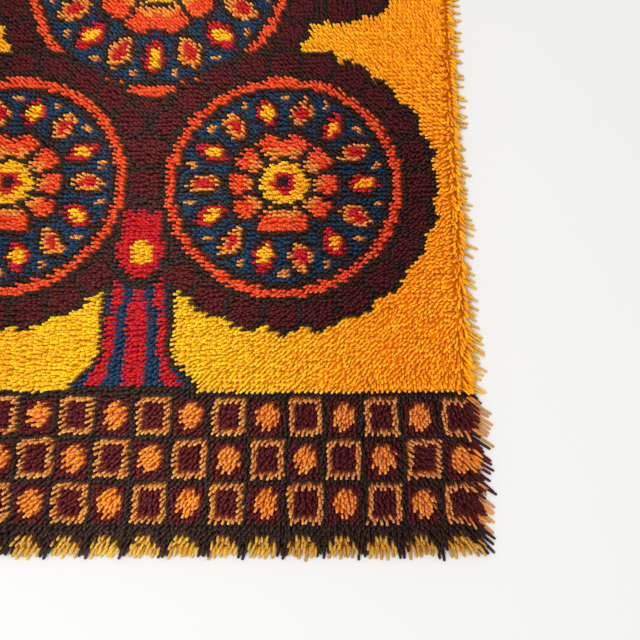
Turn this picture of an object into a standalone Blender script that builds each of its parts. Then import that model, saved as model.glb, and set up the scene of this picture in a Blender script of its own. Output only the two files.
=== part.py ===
"""Rya rug: a woven ground cloth under a thick hand-knotted wool pile.

The rug lies flat, its back on Z = 0 and its pile up. X runs across its width, Y along its
length, with the front edge at -Y. The origin is the middle of its underside. The pile is one
lumpy slab. Along each edge a narrow strip of knots carries the locks that splay on the floor.
"""

import math

import bmesh
import bpy
from mathutils import Vector, noise

MM = 0.001
GAP = 0.3 * MM

# The ground cloth, with its turned hems
GROUND_WIDTH = 1000 * MM
GROUND_LENGTH = 1500 * MM
GROUND_THICK = 2.4 * MM
HEM_ROUND = 0.8 * MM

# The pile slab
PILE_TOP = 24 * MM
PILE_EDGE_TOP = 11 * MM
PILE_SHOULDER = 34 * MM
LUMP_HEIGHT = 3.4 * MM
LUMP_LENGTH = 66 * MM
SLAB_CELLS_X = 34
SLAB_CELLS_Y = 50

# The edge strips and their locks
STRIP_WIDTH = 5 * MM
STRIP_HEIGHT = 8.5 * MM
LOCKS_ACROSS = 58
LOCKS_ALONG = 86
LOCK_REACH = 20 * MM
LOCK_REACH_SPREAD = 6 * MM
LOCK_LEAN_SPREAD = 16
LOCK_UNEVEN_LENGTH = 27 * MM
LOCK_MID_WIDTH = 9.5 * MM
LOCK_MID_HEIGHT = 7 * MM
LOCK_TIP_WIDTH = 4.5 * MM
LOCK_TIP_HEIGHT = 4 * MM
LOCK_MID_AT = 0.55

# How far the pile leans along each edge, in degrees from straight out, turning towards +X on the
# short edges and towards -Y on the long ones. Each row: share of the edge from its start, lean.
FRONT_LEAN = [
    # share from -X, degrees
    (0.00, -42),
    (0.06, -30),
    (0.50, -27),
    (0.74, -14),
    (0.84, 4),
    (0.95, 14),
    (1.00, 42),
]
BACK_LEAN = [
    # share from -X, degrees
    (0.00, -40),
    (0.08, -14),
    (0.50, -4),
    (0.92, 14),
    (1.00, 40),
]
SIDE_LEAN = [
    # share from the front, degrees
    (0.00, 44),
    (0.10, 36),
    (0.30, 24),
    (0.50, 8),
    (0.92, -6),
    (1.00, -42),
]

# How much further the locks of the long edges reach beside the border than beside the field
SIDE_REACH = [
    # share from the front, extra reach in mm
    (0.00, 2),
    (0.12, 2),
    (0.145, -3),
    (0.50, -4),
    (1.00, -1),
]


def clear_scene():
    for old in list(bpy.data.objects):
        bpy.data.objects.remove(old, do_unlink=True)


def yarn_material(name, colour, roughness):
    material = bpy.data.materials.new(name)
    material.use_nodes = True
    shader = material.node_tree.nodes["Principled BSDF"]
    shader.inputs["Base Color"].default_value = (*colour, 1.0)
    shader.inputs["Roughness"].default_value = roughness
    shader.inputs["Metallic"].default_value = 0.0
    return material


def finish_object(name, mesh_in_progress, material):
    """Turn a bmesh into a named object of the scene."""
    bmesh.ops.recalc_face_normals(mesh_in_progress, faces=mesh_in_progress.faces)
    mesh = bpy.data.meshes.new(name)
    mesh_in_progress.to_mesh(mesh)
    mesh_in_progress.free()
    mesh.materials.append(material)
    made = bpy.data.objects.new(name, mesh)
    bpy.context.scene.collection.objects.link(made)
    return made


def read_table(table, share):
    """Straight-line reading of a two-column table."""
    for (start, low), (end, high) in zip(table, table[1:]):
        if share <= end:
            return low + (high - low) * (share - start) / (end - start)
    return table[-1][1]


def smooth_step(value):
    clamped = min(max(value, 0.0), 1.0)
    return clamped * clamped * (3 - 2 * clamped)


def make_ground(material):
    """The woven cloth: a thin flat sheet with softly rounded hems."""
    sheet = bmesh.new()
    bmesh.ops.create_cube(sheet, size=1.0)
    bmesh.ops.scale(sheet, vec=(GROUND_WIDTH, GROUND_LENGTH, GROUND_THICK), verts=sheet.verts)
    bmesh.ops.translate(sheet, vec=(0, 0, GROUND_THICK / 2), verts=sheet.verts)
    upper_rim = [edge for edge in sheet.edges if all(v.co.z > GROUND_THICK / 2 for v in edge.verts)]
    bmesh.ops.bevel(sheet, geom=upper_rim, offset=HEM_ROUND, segments=2, profile=0.5,
                    affect='EDGES', material=-1)
    return finish_object("ground", sheet, material)


def pile_height(x, y):
    """Height of the pile's top: lumps in the middle, a round shoulder down to the edge."""
    from_side = GROUND_WIDTH / 2 - abs(x)
    from_end = GROUND_LENGTH / 2 - abs(y)
    shoulder = math.sqrt(smooth_step(from_side / PILE_SHOULDER) * smooth_step(from_end / PILE_SHOULDER))
    lump = noise.noise(Vector((x, y, 0)) / LUMP_LENGTH)
    ripple = noise.noise(Vector((x, y, LUMP_LENGTH)) / (LUMP_LENGTH / 2))
    bumps = LUMP_HEIGHT * (lump + 0.5 * ripple) * shoulder
    return PILE_EDGE_TOP + (PILE_TOP - PILE_EDGE_TOP) * shoulder + bumps


def crowded_place(share, half):
    """Spread the slab's grid lines, closer together near the edges where it curves."""
    centred = 2 * share - 1
    return half * (0.72 * centred + 0.28 * math.sin(math.pi / 2 * centred))


def make_pile(material):
    """The pile: one closed slab on the ground cloth, its top raised in lumps."""
    underside = GROUND_THICK + GAP
    slab = bmesh.new()
    bmesh.ops.create_grid(slab, x_segments=SLAB_CELLS_X, y_segments=SLAB_CELLS_Y, size=0.5)
    for vert in slab.verts:
        vert.co.x = crowded_place(vert.co.x + 0.5, GROUND_WIDTH / 2)
        vert.co.y = crowded_place(vert.co.y + 0.5, GROUND_LENGTH / 2)
        vert.co.z = pile_height(vert.co.x, vert.co.y)
    rim = [edge for edge in slab.edges if edge.is_boundary]
    skirt = bmesh.ops.extrude_edge_only(slab, edges=rim)["geom"]
    for vert in (item for item in skirt if isinstance(item, bmesh.types.BMVert)):
        vert.co.z = underside
    open_rim = [edge for edge in slab.edges if edge.is_boundary]
    bmesh.ops.contextual_create(slab, geom=open_rim)
    pile = finish_object("pile", slab, material)
    pile.data.shade_smooth()
    pile.data.set_sharp_from_angle(angle=math.radians(50))
    return pile


def lock_direction(lean, outward, sideways):
    turned = math.radians(lean)
    return outward * math.cos(turned) + sideways * math.sin(turned)


def grow_lock(strip, root, direction, reach):
    """Draw one root face out into a tapering lock whose underside stays on the floor."""
    across = Vector((-direction.y, direction.x, 0))
    sections = [
        # share of the reach, width, height
        (LOCK_MID_AT, LOCK_MID_WIDTH, LOCK_MID_HEIGHT),
        (1.0, LOCK_TIP_WIDTH, LOCK_TIP_HEIGHT),
    ]
    foot = root.calc_center_median()
    foot.z = 0
    face = root
    for share, width, height in sections:
        face = bmesh.ops.extrude_discrete_faces(strip, faces=[face])["faces"][0]
        middle = foot + direction * (reach * share)
        centre = face.calc_center_median()
        for vert in face.verts:
            side = 1 if (vert.co - centre).dot(across) > 0 else -1
            top = vert.co.z > centre.z
            vert.co = middle + across * (side * width / 2) + Vector((0, 0, height if top else 0))


def make_lock_strip(name, material, start, along, outward, length, count, lean_table, reach_table):
    """A narrow strip of knots beside the cloth, with a row of locks that lie out on the floor.

    start is the strip's inner corner on the floor, along its run and outward away from the cloth.
    """
    strip = bmesh.new()
    step = length / count
    sideways = along if abs(along.x) > 0.5 else Vector((0, -1, 0))
    floor_line = [strip.verts.new(start + along * (step * i)) for i in range(count + 1)]
    inner = [strip.edges.new(pair) for pair in zip(floor_line, floor_line[1:])]
    rise = bmesh.ops.extrude_edge_only(strip, edges=inner)["geom"]
    wall_verts = [item for item in rise if isinstance(item, bmesh.types.BMVert)]
    wall = [item for item in rise if isinstance(item, bmesh.types.BMFace)]
    bmesh.ops.translate(strip, vec=(0, 0, STRIP_HEIGHT), verts=wall_verts)
    bmesh.ops.solidify(strip, geom=wall, thickness=STRIP_WIDTH)
    bmesh.ops.recalc_face_normals(strip, faces=strip.faces)
    # The wall may be thickened to either side, so the whole strip is moved to its own place
    nearest = min(vert.co.dot(outward) for vert in strip.verts)
    bmesh.ops.translate(strip, vec=outward * (start.dot(outward) - nearest), verts=strip.verts)
    strip.normal_update()
    roots = [face for face in strip.faces if face.normal.dot(outward) > 0.9]
    roots.sort(key=lambda face: face.calc_center_median().dot(along))
    for i, root in enumerate(roots):
        share = (i + 0.5) / count
        place = root.calc_center_median() / LOCK_UNEVEN_LENGTH
        lean = read_table(lean_table, share) + LOCK_LEAN_SPREAD * noise.noise(place)
        uneven = noise.noise(place + Vector((0, 0, count)))
        reach = LOCK_REACH + LOCK_REACH_SPREAD * uneven + read_table(reach_table, share) * MM
        grow_lock(strip, root, lock_direction(lean, outward, sideways), reach)
    return finish_object(name, strip, material)


def make_locks(material):
    side = GROUND_WIDTH / 2 + GAP
    end = GROUND_LENGTH / 2 + GAP
    across_half = side + STRIP_WIDTH
    right, away = Vector((1, 0, 0)), Vector((0, 1, 0))
    even = [(0.0, 0), (1.0, 0)]
    across = dict(along=right, length=2 * across_half, count=LOCKS_ACROSS, reach_table=even)
    lengthwise = dict(along=away, length=GROUND_LENGTH, count=LOCKS_ALONG, reach_table=SIDE_REACH)
    half_length = GROUND_LENGTH / 2
    make_lock_strip("locks_front", material, Vector((-across_half, -end, 0)), outward=-away,
                    lean_table=FRONT_LEAN, **across)
    make_lock_strip("locks_back", material, Vector((-across_half, end, 0)), outward=away,
                    lean_table=BACK_LEAN, **across)
    make_lock_strip("locks_right", material, Vector((side, -half_length, 0)), outward=right,
                    lean_table=SIDE_LEAN, **lengthwise)
    make_lock_strip("locks_left", material, Vector((-side, -half_length, 0)), outward=-right,
                    lean_table=SIDE_LEAN, **lengthwise)


def main():
    clear_scene()
    make_ground(yarn_material("ground_wool", (0.30, 0.20, 0.09), 0.9))
    make_pile(yarn_material("pile_gold_wool", (0.83, 0.36, 0.02), 0.8))
    make_locks(yarn_material("edge_wool", (0.52, 0.28, 0.06), 0.8))


main()
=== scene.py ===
"""Rya rug: the looks of its wool pile, its edge tufts, its woven ground cloth and the stage.

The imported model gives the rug's size and place. Every knot of the pile is one place in a chart of
yarn colours, and every yarn end is its own small closed shape, leaning as the pile was brushed.
"""

import math

import bmesh
import bpy
import numpy as np
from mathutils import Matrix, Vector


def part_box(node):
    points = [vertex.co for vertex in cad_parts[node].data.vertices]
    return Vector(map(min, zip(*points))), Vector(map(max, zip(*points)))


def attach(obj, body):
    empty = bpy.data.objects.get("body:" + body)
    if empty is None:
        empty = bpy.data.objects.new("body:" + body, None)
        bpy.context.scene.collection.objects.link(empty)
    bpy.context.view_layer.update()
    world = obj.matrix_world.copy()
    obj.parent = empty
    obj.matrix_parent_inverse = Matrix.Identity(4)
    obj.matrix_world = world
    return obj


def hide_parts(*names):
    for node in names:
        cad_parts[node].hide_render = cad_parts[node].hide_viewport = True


bl_info = {
    "name": "Rya Rug Maker",
    "version": (1, 0, 0),
    "blender": (4, 5, 0),
    "location": "View3D > Sidebar > Rya Rug",
    "description": "Knots a shaggy wool rya rug on its packed solids and sets a plain studio around it",
    "category": "Object",
}

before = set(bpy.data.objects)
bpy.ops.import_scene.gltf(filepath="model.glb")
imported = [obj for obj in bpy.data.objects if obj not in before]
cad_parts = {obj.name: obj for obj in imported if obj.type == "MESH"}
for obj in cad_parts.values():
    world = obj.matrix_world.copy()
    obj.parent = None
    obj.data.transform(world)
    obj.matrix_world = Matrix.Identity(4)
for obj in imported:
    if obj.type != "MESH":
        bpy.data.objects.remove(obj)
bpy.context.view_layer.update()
GROUND_LOW, GROUND_HIGH = (np.array(corner, dtype=float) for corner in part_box("ground"))
LOCK_NODES = ("locks_front", "locks_back", "locks_left", "locks_right")

MM = 0.001
WIDTH = float(GROUND_HIGH[0] - GROUND_LOW[0])
LENGTH = float(GROUND_HIGH[1] - GROUND_LOW[1])
GROUND_TOP = float(GROUND_HIGH[2])
ROOM_UNDER_PILE = 0.3 * MM
KNOT_LIFT = 0.4 * MM
SEED = 1970
MOST_TRIANGLES = 190000

# Yarn colours, by the number that stands for each in the chart
GOLD, AMBER, ORANGE, RED, BLUE, MAROON, DARK, MUSTARD, OCHRE, STRAW = range(10)
YARNS = ("gold", "amber", "orange", "red", "blue", "maroon", "dark", "mustard", "ochre", "straw")

# Painted shade: each yarn is deeper towards the long edges, standing in for the light falling off there.
# Its colour there, as a share of its own in the middle, and the distances from the axis between which it
# deepens
PAINTED_SIDE_SHADES = {
    # yarn: (red, green, blue), metres, metres
    "gold": ((1.00, 0.63, 0.60), 0.10, 0.40),
    "amber": ((0.79, 0.67, 0.89), 0.00, 0.38),
    "ochre": ((0.79, 0.67, 0.89), 0.00, 0.38),
    "orange": ((0.82, 0.72, 0.80), 0.05, 0.40),
    "red": ((0.85, 0.72, 0.80), 0.05, 0.40),
    "blue": ((0.56, 0.49, 0.48), 0.05, 0.40),
    "maroon": ((0.55, 0.55, 0.58), 0.00, 0.36),
    "dark": ((0.60, 0.55, 0.56), 0.00, 0.36),
    "mustard": ((0.71, 0.61, 0.60), 0.00, 0.38),
    "straw": ((1.00, 1.00, 1.00), 0.10, 0.40),
}

# Painted highlight on the cut tips, a little lighter and whiter: share of the yarn's own colour, and
# what is added to it
DEEP_YARNS = ("blue", "maroon", "dark")
DEEP_TIP_HIGHLIGHT = (1.35, (0.007, 0.007, 0.007))
BRIGHT_TIP_HIGHLIGHT = (1.14, (0.000, 0.014, 0.030))
OWN_TIP_HIGHLIGHTS = {
    "gold": (1.03, (0.000, 0.000, 0.040)),
    "amber": (1.14, (0.000, 0.040, 0.046)),
    "ochre": (1.14, (0.000, 0.040, 0.046)),
}

# The border: squares of seven knots by eight rows, in three rows of squares
SQUARE_KNOTS = 7
SQUARE_ROWS = 8
SQUARE_BANDS = 3
END_ROWS = 3
PLAIN_ROWS = 2
BORDER_ROWS = END_ROWS + PLAIN_ROWS + SQUARE_ROWS * SQUARE_BANDS

# The pile's lumps and the sway of its brushing, each a sum of soft waves
LUMPS = (
    # share of the lump height, wavelength in metres, turn in radians
    (1.0, 0.081, 0.4),
    (0.6, 0.043, 1.3),
)
SWAYS = (
    # degrees, wavelength in metres, turn in radians
    (13, 0.110, 2.0),
    (9, 0.047, 0.9),
)
FALL_WIDTH = 17 * MM

# One yarn end, from its knot to its cut tip. Shares of its reach, of its rise and of its thickness.
TOP_SECTIONS = (
    # along, out, up, thick
    (0.00, 0.00, 0.00, 0.00),
    (0.34, 0.12, 0.52, 1.10),
    (0.66, 0.54, 0.83, 1.04),
    (0.94, 0.94, 1.00, 0.98),
    (1.00, 1.00, 1.00, 0.00),
)
LOWER_SECTIONS = (
    # along, out, up, thick
    (0.00, 0.00, 0.00, 0.00),
    (0.45, 0.20, 0.70, 1.50),
    (0.92, 0.92, 1.00, 1.08),
    (0.97, 1.00, 1.00, 0.00),
)
EDGE_SECTIONS = (
    # along, out, up, thick
    (0.30, 0.00, 0.00, 0.00),
    (0.48, 0.08, 0.60, 1.00),
    (0.62, 0.32, 0.95, 1.10),
    (0.76, 0.62, 1.00, 1.08),
    (0.90, 0.86, 1.00, 0.98),
    (0.97, 0.96, 1.00, 0.84),
    (1.00, 1.00, 1.00, 0.00),
)
TOP_SIDES = 4
LOWER_SIDES = 3
EDGE_SIDES = 5

# The closed slab below the yarn ends: its rim, and its place on the map of a yarn end's length, near the
# knot, so it takes the yarn's painted root shade and glow
BODY_RIM = 26 * MM
BODY_SKIRT = 0.1 * MM
BODY_PLACE_IN_ROOT_SHADE = (0.11, 0.25)

# The yarn's twist, from its knot to its tip, and the threads of the ground cloth
PLIES = 2
PLY_TURNS = 5
WARP_PITCH = 3.97 * MM
WEFT_PITCH = 1.92 * MM

# The flowering tree
DARK_LINE = 3.6 * MM
OUTLINE = 9 * MM
TRUNK_TOP = 0.60
BERRY = 6.5 * MM
CLUMPS = (
    # metres from the axis, metres from the front, radius, scallops, flower radius
    (0.290, 1.030, 0.180, 18, 0.050),
    (0.000, 0.945, 0.285, 28, 0.110),
    (0.222, 0.560, 0.250, 24, 0.090),
)
CLUMP_RINGS = (
    # in from the rim, colour
    (50 * MM, DARK),
    (58 * MM, ORANGE),
    (76 * MM, DARK),
    (84 * MM, BLUE),
)
FLOWER_HEARTS = (
    # share of the flower's radius, colour
    (0.50, DARK),
    (0.42, GOLD),
    (0.22, RED),
    (0.10, DARK),
)
PETALS = 10

# The way the pile is brushed, in degrees from +X, turning towards +Y. Columns are places across
# the rug, as shares of its half width, and each row starts with its distance from the front.
BRUSH_COLUMNS = (-1.00, -0.30, 0.05, 0.40, 0.62, 0.90)
BRUSH_ROWS = (
    # metres from the front, degrees in each column
    (0.00, (222, 236, 243, 252, 272, 286)),
    (0.08, (215, 228, 242, 248, 266, 286)),
    (0.14, (206, 212, 228, 248, 252, 300)),
    (0.20, (200, 202, 222, 248, 250, 275)),
    (0.26, (196, 194, 210, 222, 234, 250)),
    (0.40, (190, 192, 196, 198, 204, 214)),
    (0.58, (184, 180, 188, 184, 194, 222)),
    (0.74, (176, 162, 176, 172, 158, 166)),
    (0.90, (170, 168, 150, 142, 134, 122)),
    (1.30, (150, 140, 120, 104, 92, 70)),
    (1.50, (132, 112, 100, 90, 80, 62)),
)

# How far the edge tufts lean away from straight out, along each edge from its start at -X or -Y:
# towards +X on the front and back edges, towards -Y on the long ones
EDGE_LEAN = {
    # share of the edge, degrees
    "front": ((0.00, -42), (0.06, -30), (0.50, -27), (0.74, -14), (0.84, 4), (0.95, 14), (1.00, 42)),
    "back": ((0.00, -40), (0.08, -14), (0.50, -4), (0.92, 14), (1.00, 40)),
    "side": ((0.00, 42), (0.05, 35), (0.10, 35), (0.30, 24), (0.50, 8), (0.92, -6), (1.00, -42)),
}

# How wide a band of knots splays over each edge, wider beside the borders than beside the field
EDGE_BANDS = {
    # share of the edge, mm
    "front": ((0.00, 32), (1.00, 32)),
    "back": ((0.00, 32), (1.00, 32)),
    "side": ((0.00, 32), (0.16, 32), (0.21, 20), (0.80, 20), (0.84, 32), (1.00, 32)),
}

# How much further the tufts of the long edges reach than those of the short ones
SIDE_REACH = (
    # share from the front, mm
    (0.00, 14.0),
    (0.03, 21.0),
    (0.08, 20.0),
    (0.12, 17.0),
    (0.145, 17.0),
    (0.155, 11.0),
    (0.175, 13.0),
    (0.20, 16.0),
    (0.24, 10.0),
    (0.30, 8.5),
    (0.50, 6.5),
    (1.00, 5.5),
)

# The outer knots' ends: one lies far out, and the other shorter beside it. Beside the field most of
# the ends turn along the edge.
RIM_ROOM = 2.5 * MM
FAR_END_LIFT = 0.72
SHORTER_AT_SIDE = 0.52
SHORTER_AT_END = 0.66
ALONG_EDGE_SHARE = 0.2
ALONG_EDGE_REACH = 14.5 * MM

# Patches where the pile was pushed another way: place, size and degrees
BRUSHED_PATCHES = (
    # metres from the axis, metres from the front, radius, degrees
    (0.420, 0.128, 0.030, 326),
    (0.055, 0.560, 0.060, 205),
    (0.300, 0.330, 0.050, 224),
)


# The stage
FLOOR_HALF = 6.0
SOFT_BOX_SIDE = 2.4
SOFT_BOX_PLACE = (-1.3, -1.2, 3.75)


class RyaPileSettings(bpy.types.PropertyGroup):
    """Sizes of the knots and of the yarn"""

    knots_across: bpy.props.IntProperty(
        name="Knots across", description="Knots in each row, seven to a border square",
        default=126, min=14)
    knots_along: bpy.props.IntProperty(
        name="Rows of knots", description="Rows of knots from the front edge to the back",
        default=195, min=80)
    yarn_thick: bpy.props.FloatProperty(
        name="Yarn thickness", description="Width of one cut yarn end",
        default=4.3 * MM, unit="LENGTH", precision=4)
    pile_reach: bpy.props.FloatProperty(
        name="Pile reach", description="How far a yarn end lies out from its knot",
        default=10.2 * MM, unit="LENGTH", precision=4)
    edge_reach: bpy.props.FloatProperty(
        name="Edge tuft reach", description="How far a yarn end of the outer knots lies out",
        default=20 * MM, unit="LENGTH", precision=4)
    pile_top: bpy.props.FloatProperty(
        name="Pile height", description="Height of the pile's top over the floor",
        default=24 * MM, unit="LENGTH", precision=4)
    edge_top: bpy.props.FloatProperty(
        name="Edge height", description="Height of the pile over the edge of the ground cloth",
        default=14 * MM, unit="LENGTH", precision=4)
    shoulder: bpy.props.FloatProperty(
        name="Shoulder", description="Width of the pile's round shoulder along the edges",
        default=28 * MM, unit="LENGTH", precision=4)
    lump_height: bpy.props.FloatProperty(
        name="Lump height", description="How far the pile's lumps stand up",
        default=1.8 * MM, unit="LENGTH", precision=4)
    unruly: bpy.props.FloatProperty(
        name="Unruly", description="How far single yarn ends turn away from their neighbours",
        default=math.radians(8), subtype="ANGLE")
    spread: bpy.props.FloatProperty(
        name="Spread", description="Distance between the two yarn ends of one knot",
        default=4.0 * MM, unit="LENGTH", precision=4)
    body_lift: bpy.props.FloatProperty(
        name="Body", description="Height of the closed body of the pile, as a share of the pile's",
        default=0.53, min=0.3, max=1.0)
    lower_lift: bpy.props.FloatProperty(
        name="Lower layer", description="Height of each knot's lower yarn end, as a share of the pile's",
        default=0.87, min=0.3, max=1.0)


class RyaColourSettings(bpy.types.PropertyGroup):
    """Dyed yarn colours"""

    gold: bpy.props.FloatVectorProperty(
        name="Gold", description="Yarn of the plain field", subtype="COLOR",
        default=(1.0, 0.60, 0.011))
    amber: bpy.props.FloatVectorProperty(
        name="Amber", description="Yarn of the border's spots", subtype="COLOR",
        default=(0.93, 0.322, 0.038))
    ochre: bpy.props.FloatVectorProperty(
        name="Ochre", description="Yarn of the border's frames", subtype="COLOR",
        default=(0.79, 0.327, 0.060))
    orange: bpy.props.FloatVectorProperty(
        name="Orange", description="Yarn of the petals", subtype="COLOR",
        default=(0.94, 0.103, 0.021))
    red: bpy.props.FloatVectorProperty(
        name="Red", description="Yarn of the buds", subtype="COLOR",
        default=(0.63, 0.018, 0.023))
    blue: bpy.props.FloatVectorProperty(
        name="Blue", description="Yarn of the leaves", subtype="COLOR",
        default=(0.022, 0.059, 0.117))
    maroon: bpy.props.FloatVectorProperty(
        name="Maroon", description="Yarn of the squares and scallops", subtype="COLOR",
        default=(0.137, 0.021, 0.023))
    dark: bpy.props.FloatVectorProperty(
        name="Dark", description="Yarn of the outlines", subtype="COLOR",
        default=(0.053, 0.030, 0.024))
    mustard: bpy.props.FloatVectorProperty(
        name="Mustard", description="Yarn of the groups at each end", subtype="COLOR",
        default=(0.73, 0.43, 0.066))
    straw: bpy.props.FloatVectorProperty(
        name="Straw", description="Yarn of the tufts along the field", subtype="COLOR",
        default=(0.70, 0.385, 0.055))
    ground: bpy.props.FloatVectorProperty(
        name="Ground", description="Wool of the woven ground cloth", subtype="COLOR",
        default=(0.20, 0.12, 0.055))


class RyaStageSettings(bpy.types.PropertyGroup):
    """Camera, floor and light"""

    lens: bpy.props.FloatProperty(
        name="Lens", description="Focal length on a 36 mm sensor",
        default=38.25, subtype="DISTANCE_CAMERA")
    tilt: bpy.props.FloatProperty(
        name="Tilt", description="How far the camera looks away from straight down",
        default=math.radians(14.85), subtype="ANGLE")
    height: bpy.props.FloatProperty(
        name="Camera height", description="Height of the camera over the floor",
        default=1.022, unit="LENGTH")
    across: bpy.props.FloatProperty(
        name="Camera across", description="Camera's distance to the right of the rug's axis",
        default=0.275, unit="LENGTH")
    along: bpy.props.FloatProperty(
        name="Camera along", description="Camera's distance behind the front edge of the ground cloth",
        default=0.0655, unit="LENGTH")
    floor: bpy.props.FloatVectorProperty(
        name="Floor", description="Colour of the plain floor", subtype="COLOR",
        default=(0.70, 0.696, 0.686))
    sky: bpy.props.FloatProperty(
        name="Room light", description="Strength of the light from all around", default=0.84)
    key: bpy.props.FloatProperty(
        name="Soft box", description="Power of the large light overhead", default=104.0, unit="POWER")


def smooth_step(share):
    clamped = np.clip(share, 0.0, 1.0)
    return clamped * clamped * (3 - 2 * clamped)


def ripple(x, y, wavelength, turn):
    """A soft uneven field between about -1 and 1, made of a few crossing waves."""
    total = np.zeros_like(x)
    for step, weight in enumerate((0.45, 0.35, 0.3, 0.25)):
        angle = turn + 2.4 * step
        length = wavelength * (1 - 0.17 * step)
        along = x * math.cos(angle) + y * math.sin(angle)
        total += weight * np.sin(2 * math.pi * along / length + 1.7 * step)
    return total


def pile_surface(x, y, settings):
    """Height of the pile's top: lumpy, with a round shoulder, and down to the floor past the cloth."""
    from_side = WIDTH / 2 - np.abs(x)
    from_end = LENGTH / 2 - np.abs(y)
    past_edge = -np.minimum(from_side, from_end)
    rounded = smooth_step(from_side / settings.shoulder) * smooth_step(from_end / settings.shoulder)
    shoulder = np.sqrt(rounded)
    lumps = sum(share * ripple(x, y, wavelength, turn) for share, wavelength, turn in LUMPS)
    top = settings.edge_top + (settings.pile_top - settings.edge_top) * shoulder
    top = top + settings.lump_height * lumps * (0.25 + 0.75 * shoulder)
    fall = smooth_step(past_edge / FALL_WIDTH)
    return top * (1 - fall) + settings.yarn_thick * 1.05 * fall


def brush_angle(x, y):
    """Which way the pile lies, in radians, read from the brushing table and its patches."""
    from_front = y + LENGTH / 2
    rows = np.array([row[0] for row in BRUSH_ROWS])
    table = np.array([row[1] for row in BRUSH_ROWS], dtype=float)
    across = x / (WIDTH / 2)
    by_column = np.array([np.interp(from_front, rows, table[:, k]) for k in range(len(BRUSH_COLUMNS))])
    columns = np.array(BRUSH_COLUMNS)
    place = np.clip(np.interp(across, columns, np.arange(len(columns))), 0, len(columns) - 1.001)
    left = place.astype(int)
    share = place - left
    picks = np.arange(len(x))
    degrees = by_column[left, picks] * (1 - share) + by_column[left + 1, picks] * share
    for at_x, at_front, radius, turned in BRUSHED_PATCHES:
        far = np.hypot(x - at_x, from_front - at_front) / radius
        degrees = degrees + (turned - degrees) * np.exp(-far * far)
    for swing, wavelength, turn in SWAYS:
        degrees = degrees + swing * ripple(x, y, wavelength, turn)
    return np.radians(degrees)


def read_table(table, share):
    """Straight-line reading of a table of places and values."""
    return np.interp(share, *np.array(table, dtype=float).T)


def edge_direction(x, y):
    """Arrows that point outwards over the nearest edges, leaning as the tufts there do."""
    arrows = np.zeros((len(x), 2))
    share_x, share_y = x / WIDTH + 0.5, y / LENGTH + 0.5
    edges = (
        # name, room to the edge, share along it, outward, sideways
        ("front", LENGTH / 2 + y, share_x, (0, -1), (1, 0)),
        ("back", LENGTH / 2 - y, share_x, (0, 1), (1, 0)),
        ("side", WIDTH / 2 - x, share_y, (1, 0), (0, -1)),
        ("side", WIDTH / 2 + x, share_y, (-1, 0), (0, -1)),
    )
    for name, room, share, outward, sideways in edges:
        lean = np.radians(read_table(EDGE_LEAN[name], share))[:, None]
        near = 1 - smooth_step(room / MM / read_table(EDGE_BANDS[name], share))
        arrows += near[:, None] * (np.cos(lean) * np.array(outward) + np.sin(lean) * np.array(sideways))
    return arrows


def pile_direction(x, y, luck):
    """Which way each yarn end lies, in radians, and how far it splays over an edge, from 0 to 1.

    Towards an edge the ends turn from the brushed direction to that of the edge tufts, by way of
    the front where both ways are far. Luck between 0 and 1 lets single ends turn sooner or later.
    """
    brushed = brush_angle(x, y)
    edge = edge_direction(x, y)
    near = np.linalg.norm(edge, axis=1)
    splay = smooth_step(near + 0.5 * (luck - 0.5)) * (near > 0.02)
    splay = np.where(near > 0.9, 1.0, splay)
    turned = np.degrees(np.arctan2(edge[:, 1], edge[:, 0]) - brushed)
    turned = (turned + 180) % 360 - 180
    turned = np.where((turned < -130) & (x > 0), turned + 360, turned)
    return brushed + np.radians(turned) * splay, splay


def vesica(u, v, at_u, at_v, half_length, half_width, turned):
    """Share of the way from a leaf's middle to its pointed outline, under 1 inside."""
    du, dv = u - at_u, v - at_v
    along = du * math.cos(turned) + dv * math.sin(turned)
    aside = -du * math.sin(turned) + dv * math.cos(turned)
    bow = half_width * np.clip(1 - (along / half_length) ** 2, 1e-6, 1)
    return np.maximum(np.abs(along) / half_length, np.abs(aside) / bow)


def paint_leaf(chart, u, v, at_u, at_v, size, turned, body, heart):
    """A pointed leaf with a dark outline and a coloured heart."""
    chart[vesica(u, v, at_u, at_v, size * 1.32, size * 0.80, turned) < 1] = DARK
    chart[vesica(u, v, at_u, at_v, size * 1.08, size * 0.62, turned) < 1] = body
    chart[vesica(u, v, at_u, at_v, size * 0.62, size * 0.36, turned) < 1] = heart


def paint_tulip(chart, u, v, at_u, at_v, size, turned, body, heart):
    """A tulip head seen from the side: a cup of three pointed petals over a round heart."""
    du, dv = u - at_u, v - at_v
    up = du * math.cos(turned) + dv * math.sin(turned)
    aside = -du * math.sin(turned) + dv * math.cos(turned)
    for grow, colour in ((1.30, DARK), (1.0, body)):
        cup = np.hypot(aside / (0.62 * size * grow), (up + 0.18 * size) / (0.72 * size * grow)) < 1
        chart[cup] = colour
        for lean in (-0.42, 0.0, 0.42):
            tip = vesica(u, v, at_u + 0.36 * size * math.cos(turned + lean),
                         at_v + 0.36 * size * math.sin(turned + lean),
                         0.72 * size * grow, 0.30 * size * grow, turned + lean)
            chart[tip < 1] = colour
    chart[np.hypot(aside / (0.30 * size), (up + 0.22 * size) / (0.34 * size)) < 1] = heart


def paint_flower(chart, u, v, at_u, at_v, radius):
    """A round open flower: petals parted by dark lines around a ringed heart."""
    far = np.hypot(u - at_u, v - at_v) / radius
    turn = np.arctan2(v - at_v, u - at_u)
    wave = np.abs(np.cos(turn * PETALS / 2))
    scallop = 0.86 + 0.14 * wave
    parting = wave * 2 / PETALS * far * radius < DARK_LINE
    chart[far < scallop + 10 * MM / radius] = DARK
    chart[far < scallop] = ORANGE
    chart[far < scallop * 0.70] = AMBER
    chart[(far < scallop) & parting] = DARK
    for share, colour in FLOWER_HEARTS:
        chart[far < share] = colour


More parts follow.
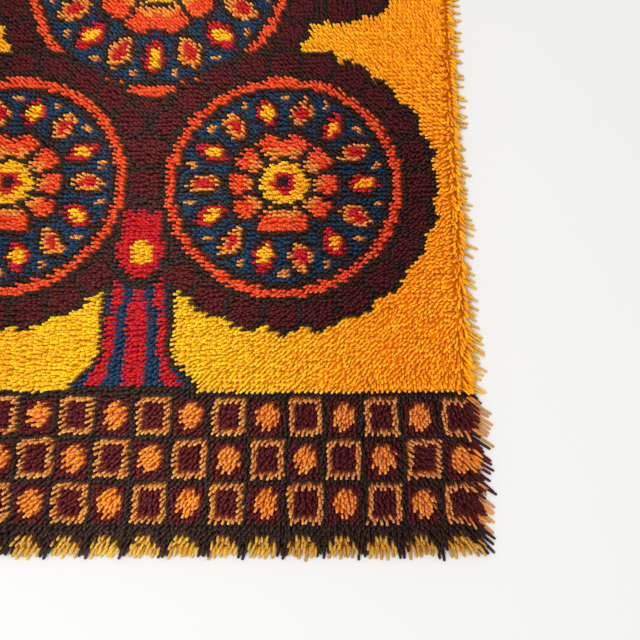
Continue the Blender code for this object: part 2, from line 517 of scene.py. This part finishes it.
def paint_clump(chart, u, v, at_u, at_v, radius, scallops, flower):
    """A round clump of the crown: a scalloped rim, a ring of buds on blue and an open flower."""
    far, turn = np.hypot(u - at_u, v - at_v), np.arctan2(v - at_v, u - at_u)
    wave = np.abs(np.cos(turn * scallops / 2))
    rim = radius * (0.955 + 0.045 * wave)
    chart[far < rim] = DARK
    chart[far < rim - OUTLINE] = MAROON
    chart[(far < rim) & (wave * 2 / scallops * far < DARK_LINE)] = DARK
    for inset, colour in CLUMP_RINGS:
        chart[far < radius - inset] = colour
    inner = radius - CLUMP_RINGS[-1][0]
    ring = (inner + flower) / 2
    size = 0.36 * (inner - flower)
    buds = 2 * round(math.pi * ring / (58 * MM))
    for k in range(buds):
        angle = 2 * math.pi * k / buds
        bud_u, bud_v = at_u + ring * math.cos(angle), at_v + ring * math.sin(angle)
        body, heart = ((RED, GOLD), (AMBER, RED))[k % 2]
        paint_leaf(chart, u, v, bud_u, bud_v, size, angle, body, heart)
        between = angle + math.pi / buds
        from_berry = np.hypot(u - at_u - (inner - 2 * BERRY) * math.cos(between),
                              v - at_v - (inner - 2 * BERRY) * math.sin(between))
        chart[from_berry < BERRY] = AMBER
    paint_flower(chart, u, v, at_u, at_v, flower)


def paint_trunk(chart, u, v):
    """A striped trunk that widens to its foot and up into the crown."""
    from_axis = np.abs(u)
    foot = 0.045 * np.clip((0.305 - v) / 0.075, 0, 1) ** 2
    half = 0.045 + foot + 0.03 * np.clip((v - 0.38) / 0.1, 0, 1)
    stripe = np.floor(3.2 * from_axis / half + 0.4 * np.sin(v * 36)).clip(0, 3).astype(int)
    bark = np.array([RED, BLUE, RED, BLUE])
    border = BORDER_ROWS / chart.shape[0] * LENGTH
    chart[(from_axis < half + OUTLINE) & (v < TRUNK_TOP)] = DARK
    inside = (from_axis < half) & (v > border + OUTLINE) & (v < TRUNK_TOP)
    chart[inside] = bark[stripe[inside]]


def paint_border(chart, from_end, square_offset):
    """One end's border on the rows that it takes, counted from that end's edge."""
    knots = np.arange(chart.shape[1])
    square, knot = knots // SQUARE_KNOTS, knots % SQUARE_KNOTS
    for line, row in enumerate(from_end[:BORDER_ROWS]):
        if line < END_ROWS:
            tapered = np.abs(knot - 3) < (3, 3, 2)[line]
            chart[row] = np.where(tapered, MUSTARD, DARK)
            continue
        band, across = divmod(line - END_ROWS - PLAIN_ROWS, SQUARE_ROWS)
        if line < END_ROWS + PLAIN_ROWS or across == SQUARE_ROWS - 1:
            chart[row] = DARK
            continue
        framed = (square + band + square_offset) % 2 == 1
        rim = (knot == 1) | (knot == SQUARE_KNOTS - 1) | (across == 0) | (across == SQUARE_ROWS - 2)
        spot = ((knot - 3.5) / 2.0) ** 2 + ((across - 3.0) / 2.5) ** 2 < 1
        chart[row] = np.where(framed & rim, OCHRE, np.where(~framed & spot, AMBER, MAROON))
        chart[row][knot == 0] = DARK


def knot_chart(across, along):
    """Chart of the yarn colours: a gold field, a flowering tree on it, and a border at each end."""
    half = WIDTH / 2
    u = ((np.arange(across) + 0.5) / across * WIDTH - half)[None, :].repeat(along, 0)
    v = ((np.arange(along) + 0.5) / along * LENGTH)[:, None].repeat(across, 1)
    chart = np.full((along, across), GOLD)
    paint_trunk(chart, u, v)
    # Each clump is painted on both sides of the axis at once
    for at_u, at_v, radius, scallops, flower in CLUMPS:
        paint_clump(chart, np.abs(u), v, at_u, at_v, radius, scallops, flower)
    paint_tulip(chart, u, v, 0.0, 0.455, 0.062, math.pi / 2, RED, GOLD)

    paint_border(chart, list(range(along)), 0)
    paint_border(chart, list(range(along - 1, -1, -1)), 1)
    return chart


def end_reach(settings, draw, x, y, splay, lower, shorter, along_edge):
    """How far each yarn end lies out: little in the pile, and far where it splays over an edge."""
    count = len(x)
    from_side, from_end = WIDTH / 2 - np.abs(x), LENGTH / 2 - np.abs(y)
    at_side = from_side < from_end
    reach = settings.pile_reach * draw.normal(1.0, 0.07, count).clip(0.6, 1.4)
    further = read_table(SIDE_REACH, y / LENGTH + 0.5) * MM * at_side
    # Where the edge tufts reach far, the knots beside them join in
    band = np.interp(further, (8 * MM, 15 * MM), (24 * MM, 36 * MM))
    edge_share = splay * (1 - smooth_step(np.minimum(from_side, from_end) / band))
    edge_share = edge_share * np.where(lower, 0.5, 1.0)
    long_reach = (settings.edge_reach + further) * draw.normal(1.0, 0.12, count).clip(0.7, 1.3)
    reach = reach + (long_reach - reach) * edge_share
    reach = reach * np.where(shorter, np.where(at_side, SHORTER_AT_SIDE, SHORTER_AT_END), 1.0)
    return np.where(along_edge, ALONG_EDGE_REACH * draw.normal(1.0, 0.12, count), reach)


def end_colours(chart, column, row, lower, shorter, at_side, beside_field):
    """The yarn of each end: its own knot's, but for the outlines and the long edges."""
    # Beside an outline the lower ends are the outline's, so it shows dark and unbroken
    dark = np.pad(chart == DARK, ((0, 1), (0, 1)), mode="edge")
    by_outline = dark[:-1, :-1] | dark[:-1, 1:] | dark[1:, :-1] | dark[1:, 1:]
    by_outline = by_outline & ~np.isin(chart, (GOLD, OCHRE))
    colour = np.where(lower & by_outline[row, column], DARK, chart[row, column])
    # The shorter ends at the long edges are the next knot's, so the far ones come out below them
    inward = np.clip(column, 1, chart.shape[1] - 2)
    colour = np.where(shorter & at_side, chart[row, inward], colour)
    return np.where(beside_field, np.where(shorter, GOLD, STRAW), colour)


def yarn_ends(settings):
    """Where every yarn end starts, which way it lies, how far it reaches and its colour."""
    across, along = settings.knots_across, settings.knots_along
    chart = knot_chart(across, along)
    draw = np.random.RandomState(SEED)
    column, row = np.meshgrid(np.arange(across), np.arange(along))
    column, row = column.ravel(), row.ravel()
    outer = (column == 0) | (column == across - 1) | (row == 0) | (row == along - 1)
    column, row, outer = (np.concatenate([values, values]) for values in (column, row, outer))
    count = len(column)
    second = np.arange(count) >= count // 2
    x = (column + 0.5) / across * WIDTH - WIDTH / 2
    y = (row + 0.5) / along * LENGTH - LENGTH / 2
    angle, splay = pile_direction(x, y, draw.uniform(0, 1, count))
    # Of a knot's two ends one lies on top, and the other fills the hollow between four knots. In
    # the outer knots one splays far out, and the other lies shorter beside it or along the edge.
    lower, shorter, far_out = second & ~outer, second & outer, outer & ~second
    at_side = WIDTH / 2 - np.abs(x) < LENGTH / 2 - np.abs(y)
    beside_field = outer & at_side & (chart[row, column] == GOLD)
    along_edge = beside_field & (second | (draw.uniform(0, 1, count) < ALONG_EDGE_SHARE))
    angle = angle - np.sign(x) * np.radians(draw.normal(24, 10, count)) * along_edge
    aside = np.where(shorter & ~along_edge, 1.0, 0.0) * settings.spread
    x = x - np.sin(angle) * aside + np.where(lower, WIDTH / across / 2, 0.0)
    y = y + np.cos(angle) * aside + np.where(lower, LENGTH / along / 2, 0.0)
    x = x + draw.normal(0, 0.5, count) * MM + np.sign(x) * along_edge * 1.5 * MM
    y = y + draw.normal(0, 0.5, count) * MM
    x = np.clip(x, -WIDTH / 2 + RIM_ROOM, WIDTH / 2 - RIM_ROOM)
    y = np.clip(y, -LENGTH / 2 + RIM_ROOM, LENGTH / 2 - RIM_ROOM)
    angle = angle + draw.normal(0, settings.unruly, count) * np.where(far_out, 0.4, 1.0)
    reach = end_reach(settings, draw, x, y, splay, lower, shorter, along_edge)
    # On the right, where the pile lies straight at the border, the field stops at its dark line
    first_rows = (chart[row, column] == GOLD) & (row <= BORDER_ROWS)
    reach = reach * np.where(first_rows, 1 - 0.4 * smooth_step((x - 0.30) / 0.12), 1.0)
    from_side, from_end = WIDTH / 2 - np.abs(x), LENGTH / 2 - np.abs(y)
    colour = end_colours(chart, column, row, lower, shorter, from_side < from_end, beside_field)
    uneven = 0.03 + 0.05 * (1 - smooth_step(np.minimum(from_side, from_end) / (30 * MM)))
    lift = draw.normal(1.0, uneven).clip(0.8, 1.2) * np.where(lower, settings.lower_lift, 1.0)
    lift = lift * np.where(far_out & ~along_edge, FAR_END_LIFT, 1.0)
    tint, twist = draw.uniform(0, 1, count), draw.uniform(0, 2 * math.pi, count)
    # About every other far end of the border's frames is of the paler yarn of the end groups
    paler = far_out & (colour == OCHRE) & (draw.uniform(0, 1, count) < 0.5)
    colour = np.where(paler, MUSTARD, colour)
    return dict(x=x, y=y, angle=angle, reach=reach, lift=lift, colour=colour, outer=outer, lower=lower,
                tint=tint, twist=twist)


def yarn_paths(ends, sections, settings):
    """Middle line and thickness of each yarn end, one point for each section."""
    shares = np.array(sections)
    out = ends["reach"][:, None] * shares[None, :, 1]
    x = ends["x"][:, None] + np.cos(ends["angle"])[:, None] * out
    y = ends["y"][:, None] + np.sin(ends["angle"])[:, None] * out
    foot = GROUND_TOP + ROOM_UNDER_PILE + KNOT_LIFT
    half_thick = settings.yarn_thick / 2
    top = pile_surface(x, y, settings) * ends["lift"][:, None] - half_thick
    z = foot + (top - foot) * shares[None, :, 2]
    z[:, 1:] = np.maximum(z[:, 1:], half_thick * 1.02)
    thick = half_thick * shares[None, :, 3] * np.ones_like(z)
    return np.stack([x, y, z], axis=2), thick


def spun_tube(sections, sides):
    """The faces of one closed tube from knot to tip: corners, their places on the yarn, starts."""
    last = len(sections) - 1
    tube = bmesh.new()
    line = [tube.verts.new((0 if k in (0, last) else 1, 0, k)) for k in range(last + 1)]
    line += [tube.edges.new(pair) for pair in zip(line, line[1:])]
    bmesh.ops.spin(tube, geom=line, cent=(0, 0, 0), axis=(0, 0, 1), angle=2 * math.pi, steps=sides,
                   use_merge=True)
    bmesh.ops.remove_doubles(tube, verts=tube.verts, dist=0.01)
    bmesh.ops.recalc_face_normals(tube, faces=tube.faces)
    corner_ids, corner_uv, starts = [], [], []
    for face in tube.faces:
        centre = face.calc_center_median()
        face_side = math.floor(math.atan2(centre.y, centre.x) / (2 * math.pi) * sides) % sides
        starts.append(len(corner_ids))
        for vert in face.verts:
            k = round(vert.co.z)
            if k in (0, last):
                corner_ids.append(0 if k == 0 else 1 + (last - 1) * sides)
                corner_uv.append((sections[k][0], (face_side + 0.5) / sides))
                continue
            side = round(math.atan2(vert.co.y, vert.co.x) / (2 * math.pi) * sides) % sides
            corner_ids.append(1 + (k - 1) * sides + side)
            corner_uv.append((sections[k][0], (face_side + (side != face_side)) / sides))
    tube.free()
    return np.array(corner_ids), np.array(corner_uv), np.array(starts)


def yarn_mesh(name, ends, sections, sides, settings):
    """All the given yarn ends as one mesh, each a closed tapering tube with a blunt tip."""
    points, thick = yarn_paths(ends, sections, settings)
    count, stations = points.shape[:2]
    rings = stations - 2
    run = np.gradient(points, axis=1)[:, 1:-1]
    run /= np.linalg.norm(run, axis=2, keepdims=True)
    beside = np.stack([-np.sin(ends["angle"]), np.cos(ends["angle"]), np.zeros(count)], axis=1)
    beside = np.repeat(beside[:, None, :], rings, axis=1)
    above = np.cross(run, beside)
    around = np.arange(sides) / sides * 2 * math.pi
    turn = (ends["twist"][:, None, None] + around[None, None, :])[..., None]
    ring = np.cos(turn) * beside[:, :, None, :] + np.sin(turn) * above[:, :, None, :]
    ring = points[:, 1:-1, None, :] + ring * thick[:, 1:-1, None, None]
    ring = ring.reshape(count, rings * sides, 3)
    verts = np.concatenate([points[:, :1], ring, points[:, -1:]], axis=1)
    per_end = 2 + rings * sides

    corner_ids, corner_uv, starts = spun_tube(sections, sides)
    all_ids = (corner_ids[None, :] + per_end * np.arange(count)[:, None]).ravel()
    all_starts = (starts[None, :] + len(corner_ids) * np.arange(count)[:, None]).ravel()
    mesh = bpy.data.meshes.new(name)
    mesh.vertices.add(count * per_end)
    mesh.vertices.foreach_set("co", verts.astype(np.float32).ravel())
    mesh.loops.add(len(all_ids))
    mesh.loops.foreach_set("vertex_index", all_ids.astype(np.int32))
    mesh.polygons.add(len(all_starts))
    mesh.polygons.foreach_set("loop_start", all_starts.astype(np.int32))
    mesh.update(calc_edges=True)
    mesh.shade_smooth()
    yarn_map = mesh.uv_layers.new(name="yarn")
    yarn_map.data.foreach_set("uv", np.tile(corner_uv.astype(np.float32).ravel(), count))
    tint = mesh.attributes.new("tint", "FLOAT", "POINT")
    tint.data.foreach_set("value", np.repeat(ends["tint"], per_end).astype(np.float32))
    return mesh


def add_object(name, mesh, material):
    """Link a finished mesh as a piece that stays with the rug."""
    mesh.materials.append(material)
    piece = bpy.data.objects.new(name, mesh)
    bpy.context.scene.collection.objects.link(piece)
    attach(piece, "root")
    return piece


def joined(tree, source, target):
    tree.links.new(source, target)


def math_node(tree, operation, first, second=None):
    node = tree.nodes.new("ShaderNodeMath")
    node.operation = operation
    for socket, value in zip(node.inputs, (first, second)):
        if value is None:
            continue
        if isinstance(value, (int, float)):
            socket.default_value = value
        else:
            joined(tree, value, socket)
    return node.outputs[0]


def ranged(tree, value, low, high, start=0.0, end=1.0, easing="LINEAR"):
    """A value carried from its range between start and end to the one between low and high."""
    node = tree.nodes.new("ShaderNodeMapRange")
    node.interpolation_type = easing
    node.inputs["From Min"].default_value = start
    node.inputs["From Max"].default_value = end
    node.inputs["To Min"].default_value = low
    node.inputs["To Max"].default_value = high
    joined(tree, value, node.inputs["Value"])
    return node.outputs["Result"]


def relief(tree, shader, height, strength, distance):
    """Raise a fine relief on a surface."""
    bump = tree.nodes.new("ShaderNodeBump")
    bump.inputs["Strength"].default_value = strength
    bump.inputs["Distance"].default_value = distance
    joined(tree, height, bump.inputs["Height"])
    joined(tree, bump.outputs["Normal"], shader.inputs["Normal"])


def length_ramp(tree, down, base, root, tip):
    """The colour along a yarn end, from its knot to its cut tip: painted shade and glow at the knot, a
    painted highlight at the tip.
    """
    ramp = tree.nodes.new("ShaderNodeValToRGB")
    joined(tree, down, ramp.inputs["Fac"])
    # Painted shade and glow at the knot, the yarn's own colour further out, a painted highlight at the
    # tip
    stops = (
        # place along the yarn end, colour
        (0.00, root),
        (0.42, root * 0.6 + base * 0.4),
        (0.76, base),
        (1.00, tip),
    )
    while len(ramp.color_ramp.elements) < len(stops):
        ramp.color_ramp.elements.new(0.5)
    for element, (place, tone) in zip(ramp.color_ramp.elements, stops):
        element.position = place
        element.color = (*np.clip(tone, 0, 1), 1)
    return ramp.outputs["Color"]


def with_side_shade(tree, colour, place, side_shade):
    """A colour with painted shade that deepens away from the rug's axis."""
    tone, start, end = side_shade
    split = tree.nodes.new("ShaderNodeSeparateXYZ")
    joined(tree, place, split.inputs[0])
    from_axis = math_node(tree, "ABSOLUTE", split.outputs["X"])
    side_shade_node = tree.nodes.new("ShaderNodeMix")
    side_shade_node.data_type = "RGBA"
    side_shade_node.blend_type = "MULTIPLY"
    joined(tree, ranged(tree, from_axis, 0.0, 1.0, start, end, "SMOOTHSTEP"), side_shade_node.inputs["Factor"])
    joined(tree, colour, side_shade_node.inputs["A"])
    side_shade_node.inputs["B"].default_value = (*tone, 1)
    return side_shade_node.outputs["Result"]


def yarn_material(name, colour, root_shade, tip_highlight, hue_shift, side_shade):
    """Twisted wool: painted shade deeper at the knot, a painted highlight at the cut tip, each end a
    little its own colour.
    """
    material = bpy.data.materials.new(name)
    material.use_nodes = True
    tree = material.node_tree
    shader = tree.nodes["Principled BSDF"]
    shader.inputs["Roughness"].default_value = 0.82
    shader.inputs["Specular IOR Level"].default_value = 0.02
    # Wool lets light through, so the sides of the yarn glow
    shader.inputs["Subsurface Weight"].default_value = 0.25
    shader.inputs["Subsurface Radius"].default_value = (1.0, 0.42, 0.12)
    shader.inputs["Subsurface Scale"].default_value = 1.6 * MM
    shader.inputs["Sheen Weight"].default_value = 0.01
    shader.inputs["Sheen Roughness"].default_value = 0.45

    uv = tree.nodes.new("ShaderNodeUVMap")
    uv.uv_map = "yarn"
    split = tree.nodes.new("ShaderNodeSeparateXYZ")
    joined(tree, uv.outputs["UV"], split.inputs[0])
    coords = tree.nodes.new("ShaderNodeTexCoord")
    fibre = tree.nodes.new("ShaderNodeTexNoise")
    fibre.inputs["Scale"].default_value = 1400.0
    fibre.inputs["Detail"].default_value = 2.0
    joined(tree, coords.outputs["Object"], fibre.inputs["Vector"])
    tint = tree.nodes.new("ShaderNodeAttribute")
    tint.attribute_name = "tint"

    along = length_ramp(tree, split.outputs["X"], colour, root_shade, tip_highlight)
    # Painted shade towards the long edges
    side_shaded = with_side_shade(tree, along, coords.outputs["Object"], side_shade)
    worn = math_node(tree, "MULTIPLY_ADD", fibre.outputs["Fac"], 0.30)
    worn.node.inputs[2].default_value = 0.85
    shade = ranged(tree, tint.outputs["Fac"], 0.86, 1.10)
    hue = tree.nodes.new("ShaderNodeHueSaturation")
    joined(tree, side_shaded, hue.inputs["Color"])
    joined(tree, ranged(tree, tint.outputs["Fac"], 0.5 - hue_shift, 0.5 + hue_shift), hue.inputs["Hue"])
    joined(tree, math_node(tree, "MULTIPLY", shade, worn), hue.inputs["Value"])
    joined(tree, hue.outputs["Color"], shader.inputs["Base Color"])

    around = math_node(tree, "MULTIPLY", split.outputs["Y"], PLIES)
    down = math_node(tree, "MULTIPLY", split.outputs["X"], PLY_TURNS)
    spiral = math_node(tree, "MULTIPLY", math_node(tree, "ADD", around, down), 2 * math.pi)
    fuzz = math_node(tree, "MULTIPLY", fibre.outputs["Fac"], 0.7)
    twisted = math_node(tree, "ADD", math_node(tree, "SINE", spiral), fuzz)
    relief(tree, shader, twisted, 0.55, 0.5 * MM)
    return material


def woven_material(name, colour):
    """Plain-woven wool seen from the back: warp and weft as fine crossing ribs, with painted light and
    shade that follow their relief.
    """
    material = bpy.data.materials.new(name)
    material.use_nodes = True
    tree = material.node_tree
    shader = tree.nodes["Principled BSDF"]
    shader.inputs["Roughness"].default_value = 0.9
    shader.inputs["Sheen Weight"].default_value = 0.2
    coords = tree.nodes.new("ShaderNodeTexCoord")
    split = tree.nodes.new("ShaderNodeSeparateXYZ")
    joined(tree, coords.outputs["Object"], split.inputs[0])
    across = math_node(tree, "MULTIPLY", split.outputs["X"], 2 * math.pi / WARP_PITCH)
    down = math_node(tree, "MULTIPLY", split.outputs["Y"], 2 * math.pi / WEFT_PITCH)
    warp, weft = math_node(tree, "SINE", across), math_node(tree, "SINE", down)
    cross = math_node(tree, "MULTIPLY", warp, weft)
    speckle = tree.nodes.new("ShaderNodeTexNoise")
    joined(tree, coords.outputs["Object"], speckle.inputs["Vector"])
    speckle.inputs["Scale"].default_value = 260.0
    mix = tree.nodes.new("ShaderNodeMix")
    mix.data_type = "RGBA"
    base = np.array(colour)
    mix.inputs["A"].default_value = (*(base * 0.7), 1)
    mix.inputs["B"].default_value = (*np.clip(base * 1.35, 0, 1), 1)
    # Painted light and shade: lighter where the ribs' relief is high, darker in its hollows, over a
    # random speckle
    rib_light_shade_and_speckle = math_node(tree, "MULTIPLY_ADD", cross, 0.25)
    joined(tree, speckle.outputs["Fac"], rib_light_shade_and_speckle.node.inputs[2])
    joined(tree, rib_light_shade_and_speckle, mix.inputs["Factor"])
    joined(tree, mix.outputs["Result"], shader.inputs["Base Color"])
    relief(tree, shader, cross, 0.8, 0.6 * MM)
    return material


def yarn_finish(yarn, colours):
    """The material of one yarn colour, made once."""
    name = f"yarn_{yarn}"
    if name in bpy.data.materials:
        return bpy.data.materials[name]
    deep = yarn in DEEP_YARNS
    colour = np.array(getattr(colours, yarn))
    # Painted shade and glow at the roots: light that has passed through bright wool comes out redder, so
    # its roots are painted with a darker, redder glow; deep wool is painted only darker
    root_shade_and_glow = colour ** np.array([1.0, 1.35, 1.35]) * np.array([0.9, 0.72, 0.5])
    share, added = OWN_TIP_HIGHLIGHTS.get(yarn, DEEP_TIP_HIGHLIGHT if deep else BRIGHT_TIP_HIGHLIGHT)
    # The cut tip's painted highlight
    tip = colour * share + np.array(added)
    hue_shift = 0.006 if deep or yarn in ("orange", "red") else 0.010
    return yarn_material(name, colour, colour * 0.6 if deep else root_shade_and_glow, tip, hue_shift, PAINTED_SIDE_SHADES[yarn])


class RYA_OT_weave_ground(bpy.types.Operator):
    """Weave the ground cloth that the pile is knotted on"""

    bl_idname = "rya.weave_ground"
    bl_label = "Weave the ground cloth"

    def execute(self, context):
        cloth = bmesh.new()
        bmesh.ops.create_grid(cloth, x_segments=16, y_segments=24, size=0.5)
        bmesh.ops.scale(cloth, vec=(WIDTH, LENGTH, 1), verts=cloth.verts)
        slab = bmesh.ops.extrude_face_region(cloth, geom=cloth.faces[:])["geom"]
        upper = [item for item in slab if isinstance(item, bmesh.types.BMVert)]
        bmesh.ops.translate(cloth, vec=(0, 0, GROUND_TOP), verts=upper)
        bmesh.ops.recalc_face_normals(cloth, faces=cloth.faces)
        mesh = bpy.data.meshes.new("ground_cloth")
        cloth.to_mesh(mesh)
        cloth.free()
        wool = woven_material("ground_wool", context.scene.rya_colours.ground)
        piece = add_object("ground_cloth", mesh, wool)
        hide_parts("ground")
        return {"FINISHED"}


def add_yarn(context, stem, node_names, ends, chosen, sections, sides):
    """Add the chosen yarn ends, one object for each colour, or more where there are very many."""
    settings, colours = context.scene.rya_pile, context.scene.rya_colours
    triangles = sides * (2 * len(sections) - 4)
    for number, yarn in enumerate(YARNS):
        mine = np.flatnonzero(chosen & (ends["colour"] == number))
        if len(mine) == 0:
            continue
        mine = mine[np.argsort(ends["y"][mine], kind="stable")]
        parts = math.ceil(len(mine) * triangles / MOST_TRIANGLES)
        for part, group in enumerate(np.array_split(mine, parts)):
            name = f"{stem}_{yarn}" if parts == 1 else f"{stem}_{yarn}_{part + 1}"
            these = {key: values[group] for key, values in ends.items()}
            mesh = yarn_mesh(name, these, sections, sides, settings)
            piece = add_object(name, mesh, yarn_finish(yarn, colours))
            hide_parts(*node_names)


def body_mesh(settings):
    """The thick of the pile between the yarn ends: a closed slab, a cell for each knot in its colour
    with the painted root shade.
    """
    along, across = settings.knots_along, settings.knots_across
    chart = knot_chart(across, along)
    used = np.unique(chart)
    draw = np.random.default_rng(SEED + 1)
    slab = bmesh.new()
    yarn_map = slab.loops.layers.uv.new("yarn")
    tint = slab.verts.layers.float.new("tint")
    bmesh.ops.create_grid(slab, x_segments=across, y_segments=along, size=0.5)
    x, y = np.array([vert.co.xy for vert in slab.verts]).T * np.array([[WIDTH], [LENGTH]])
    foot = GROUND_TOP + ROOM_UNDER_PILE
    inside = np.minimum(WIDTH / 2 - np.abs(x), LENGTH / 2 - np.abs(y))
    top = pile_surface(x, y, settings) * settings.body_lift - foot
    uneven = draw.uniform(0, 0.8, len(x)) * MM * (inside > 1 * MM)
    z = foot + top * smooth_step(inside / BODY_RIM) + uneven
    for vert, place, tone in zip(slab.verts, zip(x, y, z), draw.uniform(0, 1, len(x))):
        vert.co = place
        vert[tint] = tone
    for face in slab.faces:
        centre = face.calc_center_median()
        row = int((centre.y / LENGTH + 0.5) * along)
        column = int((centre.x / WIDTH + 0.5) * across)
        face.material_index = int(np.searchsorted(used, chart[row, column]))
        face.smooth = True
        for loop in face.loops:
            # Each cell takes its yarn's colour near the knot: painted shade and glow
            loop[yarn_map].uv = BODY_PLACE_IN_ROOT_SHADE
    rim = [edge for edge in slab.edges if edge.is_boundary]
    skirt = bmesh.ops.extrude_edge_only(slab, edges=rim)["geom"]
    low_rim = [item for item in skirt if isinstance(item, bmesh.types.BMVert)]
    bmesh.ops.translate(slab, vec=(0, 0, -BODY_SKIRT), verts=low_rim)
    bmesh.ops.contextual_create(slab, geom=[edge for edge in slab.edges if edge.is_boundary])
    bmesh.ops.recalc_face_normals(slab, faces=slab.faces)
    mesh = bpy.data.meshes.new("pile_body")
    slab.to_mesh(mesh)
    slab.free()
    return mesh, used


class RYA_OT_knot_pile(bpy.types.Operator):
    """Knot the pile: its top layer of yarn ends and the lower layer that fills it"""

    bl_idname = "rya.knot_pile"
    bl_label = "Knot the pile"

    def execute(self, context):
        ends = yarn_ends(context.scene.rya_pile)
        top = ~ends["outer"] & ~ends["lower"]
        add_yarn(context, "pile", ["pile"], ends, top, TOP_SECTIONS, TOP_SIDES)
        add_yarn(context, "pile_lower", ["pile"], ends, ends["lower"], LOWER_SECTIONS,
                 LOWER_SIDES)
        mesh, used = body_mesh(context.scene.rya_pile)
        finishes = [yarn_finish(YARNS[number], context.scene.rya_colours) for number in used]
        body = add_object("pile_body", mesh, finishes[0])
        for finish in finishes[1:]:
            body.data.materials.append(finish)
        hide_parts("pile")
        return {"FINISHED"}


class RYA_OT_splay_edges(bpy.types.Operator):
    """Splay the outer knots' yarn ends on the floor around the cloth"""

    bl_idname = "rya.splay_edges"
    bl_label = "Splay the edge tufts"

    def execute(self, context):
        ends = yarn_ends(context.scene.rya_pile)
        add_yarn(context, "edge_tufts", LOCK_NODES, ends, ends["outer"], EDGE_SECTIONS,
                 EDGE_SIDES)
        return {"FINISHED"}


def lay_floor(scene):
    """A wide plain floor under the rug."""
    sheet = bmesh.new()
    bmesh.ops.create_grid(sheet, x_segments=1, y_segments=1, size=FLOOR_HALF)
    mesh = bpy.data.meshes.new("floor")
    sheet.to_mesh(mesh)
    sheet.free()
    floor = bpy.data.objects.new("floor", mesh)
    scene.collection.objects.link(floor)
    paint = bpy.data.materials.new("floor_paint")
    paint.use_nodes = True
    shader = paint.node_tree.nodes["Principled BSDF"]
    shader.inputs["Base Color"].default_value = (*scene.rya_stage.floor, 1)
    shader.inputs["Roughness"].default_value = 0.9
    mesh.materials.append(paint)


def hang_lights(scene):
    """Even light from all around, and a large soft box overhead to the left."""
    world = bpy.data.worlds.new("studio")
    world.use_nodes = True
    world.node_tree.nodes["Background"].inputs["Color"].default_value = (1, 1, 1, 1)
    world.node_tree.nodes["Background"].inputs["Strength"].default_value = scene.rya_stage.sky
    scene.world = world
    box = bpy.data.lights.new("soft_box", "AREA")
    box.shape = "SQUARE"
    box.size = SOFT_BOX_SIDE
    box.energy = scene.rya_stage.key
    lamp = bpy.data.objects.new("soft_box", box)
    lamp.location = SOFT_BOX_PLACE
    aim = lamp.location * -1
    lamp.rotation_euler = aim.to_track_quat("-Z", "Y").to_euler()
    scene.collection.objects.link(lamp)


def place_camera(scene):
    """A camera above the rug's front right corner, tilted a little away from straight down."""
    stage = scene.rya_stage
    lens = bpy.data.cameras.new("camera")
    lens.lens = stage.lens
    lens.sensor_width = 36
    lens.clip_start = 0.01
    eye = bpy.data.objects.new("camera", lens)
    eye.location = (stage.across, -LENGTH / 2 + stage.along, stage.height)
    eye.rotation_euler = (stage.tilt, 0, 0)
    scene.collection.objects.link(eye)
    scene.camera = eye


class RYA_OT_set_stage(bpy.types.Operator):
    """Set the plain floor, the soft light and the camera over the rug's front corner"""

    bl_idname = "rya.set_stage"
    bl_label = "Set the stage"

    def execute(self, context):
        lay_floor(context.scene)
        hang_lights(context.scene)
        place_camera(context.scene)
        context.scene.view_settings.view_transform = "Standard"
        return {"FINISHED"}


class RYA_PT_panel(bpy.types.Panel):
    """The rug's sizes and colours, and its steps in the order they are made"""

    bl_idname = "RYA_PT_panel"
    bl_label = "Rya Rug"
    bl_space_type = "VIEW_3D"
    bl_region_type = "UI"
    bl_category = "Rya Rug"

    def draw(self, context):
        for name, group in SETTINGS.items():
            box = self.layout.box()
            for setting in group.__annotations__:
                box.prop(getattr(context.scene, name), setting)
        for step in STEPS:
            self.layout.operator(step.bl_idname)


SETTINGS = {"rya_pile": RyaPileSettings, "rya_colours": RyaColourSettings, "rya_stage": RyaStageSettings}
STEPS = (RYA_OT_weave_ground, RYA_OT_knot_pile, RYA_OT_splay_edges, RYA_OT_set_stage)


def register():
    for made in (*SETTINGS.values(), *STEPS, RYA_PT_panel):
        bpy.utils.register_class(made)
    for name, group in SETTINGS.items():
        setattr(bpy.types.Scene, name, bpy.props.PointerProperty(type=group))


def unregister():
    for name in SETTINGS:
        delattr(bpy.types.Scene, name)
    for made in reversed((*SETTINGS.values(), *STEPS, RYA_PT_panel)):
        bpy.utils.unregister_class(made)


def main():
    register()
    bpy.ops.rya.weave_ground()
    bpy.ops.rya.knot_pile()
    bpy.ops.rya.splay_edges()
    bpy.ops.rya.set_stage()


if __name__ == "__main__":
    main()
